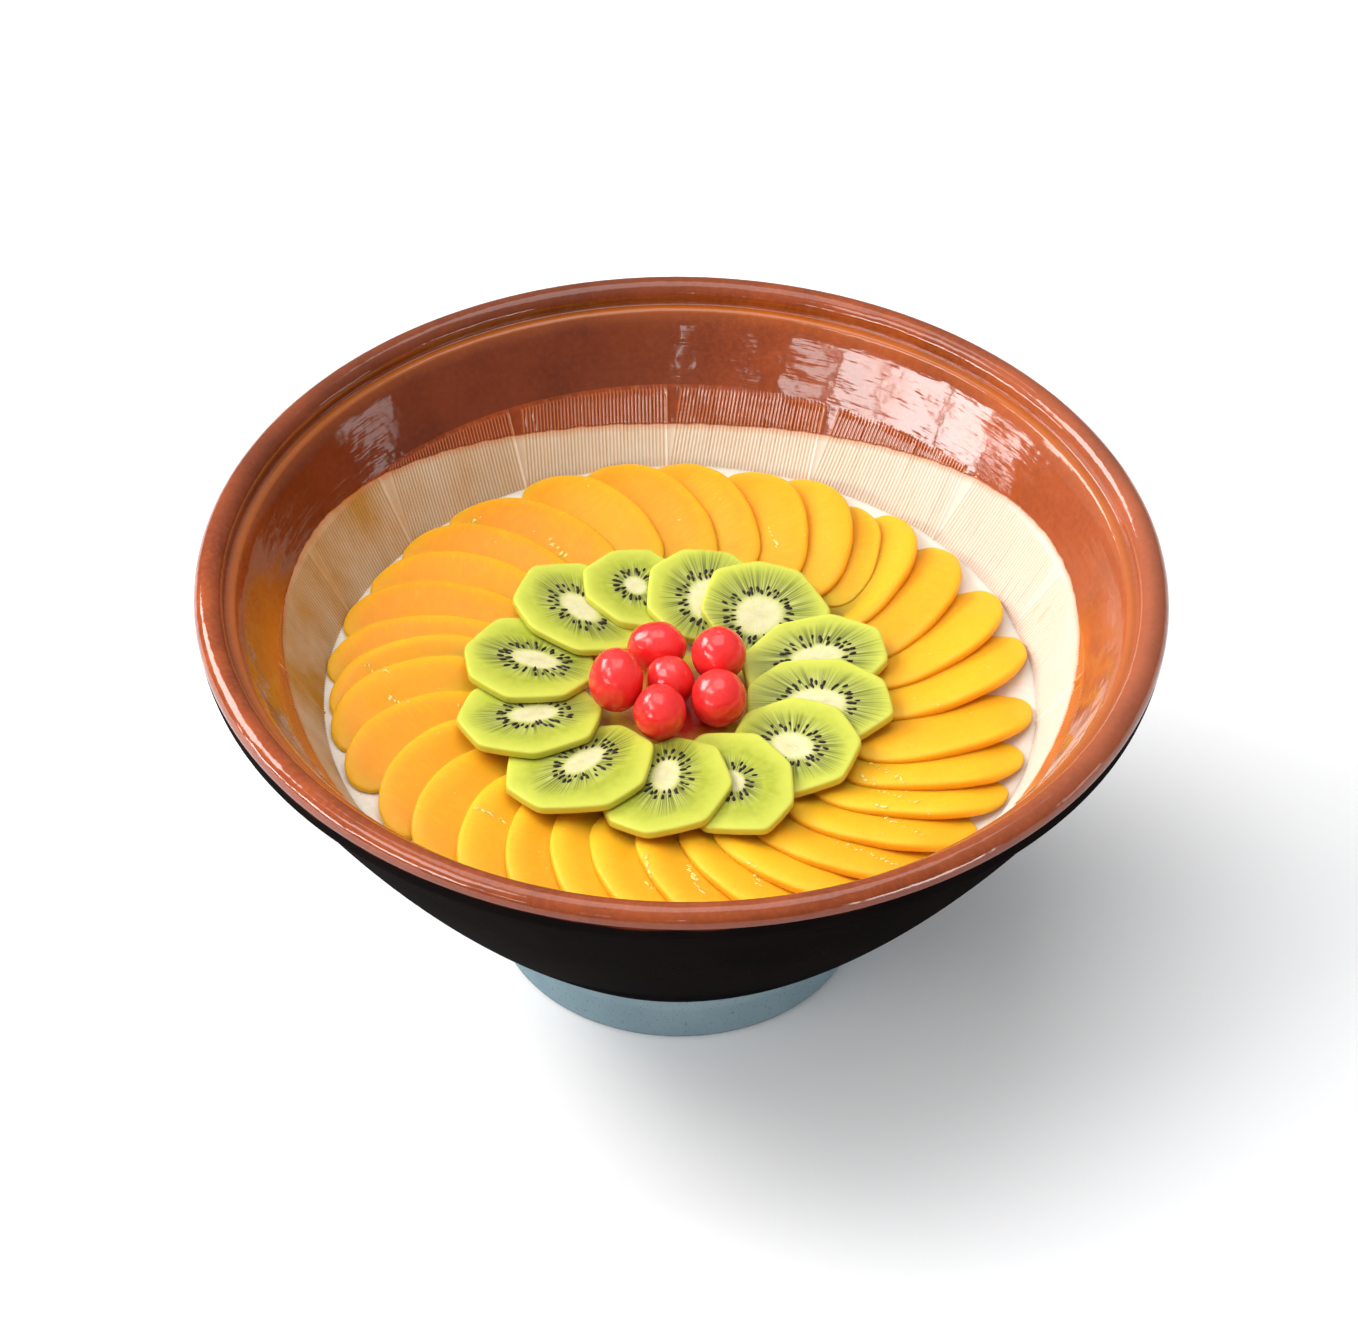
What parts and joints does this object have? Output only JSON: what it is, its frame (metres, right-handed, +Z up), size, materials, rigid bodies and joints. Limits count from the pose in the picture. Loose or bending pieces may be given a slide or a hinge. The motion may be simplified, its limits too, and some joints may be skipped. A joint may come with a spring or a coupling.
{
  "type": "almond jelly",
  "caption": "Almond jelly set in a wide brown stoneware mortar bowl, covered with rings of peach and kiwi slices and a heap of cherries in the middle.",
  "frame": {"origin": "middle of the foot's underside, on the surface the bowl stands on", "axes": "+Z is up along the bowl's axis; +Y points away from the viewer of the picture; +X to the viewer's right; right-handed, metres"},
  "size_m": [0.365, 0.365, 0.1745],
  "materials": {
    "stoneware": "gloss brown glaze outside and over the lip, bare cream clay with combed grooves inside",
    "jelly": "smooth wet milky jelly",
    "peach": "wet slices, faint fibres",
    "kiwi": "wet slices with a pale core and dark seeds",
    "cherry": "wet, smooth, slightly see-through"
  },
  "bodies": {
    "root": {"bowl": "stoneware", "almond_jelly": "jelly", "peach_slice_00": "peach", "peach_slice_01": "peach", "peach_slice_02": "peach", "peach_slice_03": "peach", "peach_slice_04": "peach", "peach_slice_05": "peach", "peach_slice_06": "peach", "peach_slice_07": "peach", "peach_slice_08": "peach", "peach_slice_09": "peach", "peach_slice_10": "peach", "peach_slice_11": "peach", "peach_slice_12": "peach", "peach_slice_13": "peach", "peach_slice_14": "peach", "peach_slice_15": "peach", "peach_slice_16": "peach", "peach_slice_17": "peach", "peach_slice_18": "peach", "peach_slice_19": "peach", "peach_slice_20": "peach", "peach_slice_21": "peach", "peach_slice_22": "peach", "peach_slice_23": "peach", "peach_slice_24": "peach", "peach_slice_25": "peach", "peach_slice_26": "peach", "peach_slice_27": "peach", "peach_slice_28": "peach", "peach_slice_29": "peach", "peach_slice_30": "peach", "peach_slice_31": "peach", "kiwi_slice_01": "kiwi", "kiwi_slice_02": "kiwi", "kiwi_slice_03": "kiwi", "kiwi_slice_04": "kiwi", "kiwi_slice_05": "kiwi", "kiwi_slice_06": "kiwi", "kiwi_slice_07": "kiwi", "kiwi_slice_08": "kiwi", "kiwi_slice_09": "kiwi", "kiwi_slice_10": "kiwi", "kiwi_slice_11": "kiwi", "kiwi_slice_12": "kiwi", "cherry_1": "cherry", "cherry_2": "cherry", "cherry_3": "cherry", "cherry_4": "cherry", "cherry_5": "cherry", "cherry_6": "cherry"}
  },
  "joints": []
}
